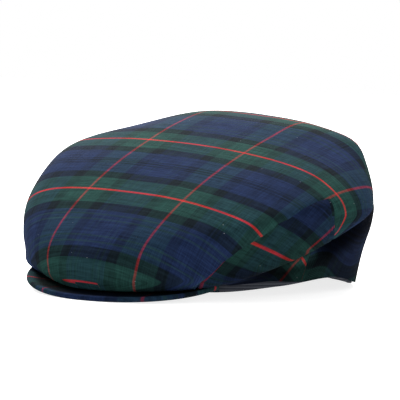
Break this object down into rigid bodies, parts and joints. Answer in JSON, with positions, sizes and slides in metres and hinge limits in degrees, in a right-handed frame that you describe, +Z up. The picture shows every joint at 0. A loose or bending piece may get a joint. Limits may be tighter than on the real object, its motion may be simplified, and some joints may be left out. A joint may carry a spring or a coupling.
{
  "type": "flat cap",
  "caption": "Soft tartan flat cap with a low rounded crown that slopes down onto a short peak, pieced sides and an open head band.",
  "frame": {"origin": "on the floor, in the middle of the cap's outline seen from above", "axes": "+Z up, -Y towards the peak, +X towards the wearer's left"},
  "size_m": [0.2174, 0.2472, 0.1084],
  "materials": {
    "top_cloth": "matt woven twill in a navy, green and black tartan with thin red lines",
    "side_cloth_left": "matt woven twill in the same tartan, cut at a slant",
    "side_cloth_right": "matt woven twill in the same tartan, cut at a slant",
    "peak_cloth": "matt woven twill in the same tartan over a stiff board",
    "band_cloth": "matt ribbed woven band, grey navy"
  },
  "bodies": {
    "root": {"top_panel": "top_cloth", "side_panel_left": "side_cloth_left", "side_panel_right": "side_cloth_right", "peak": "peak_cloth", "band": "band_cloth"}
  },
  "joints": []
}
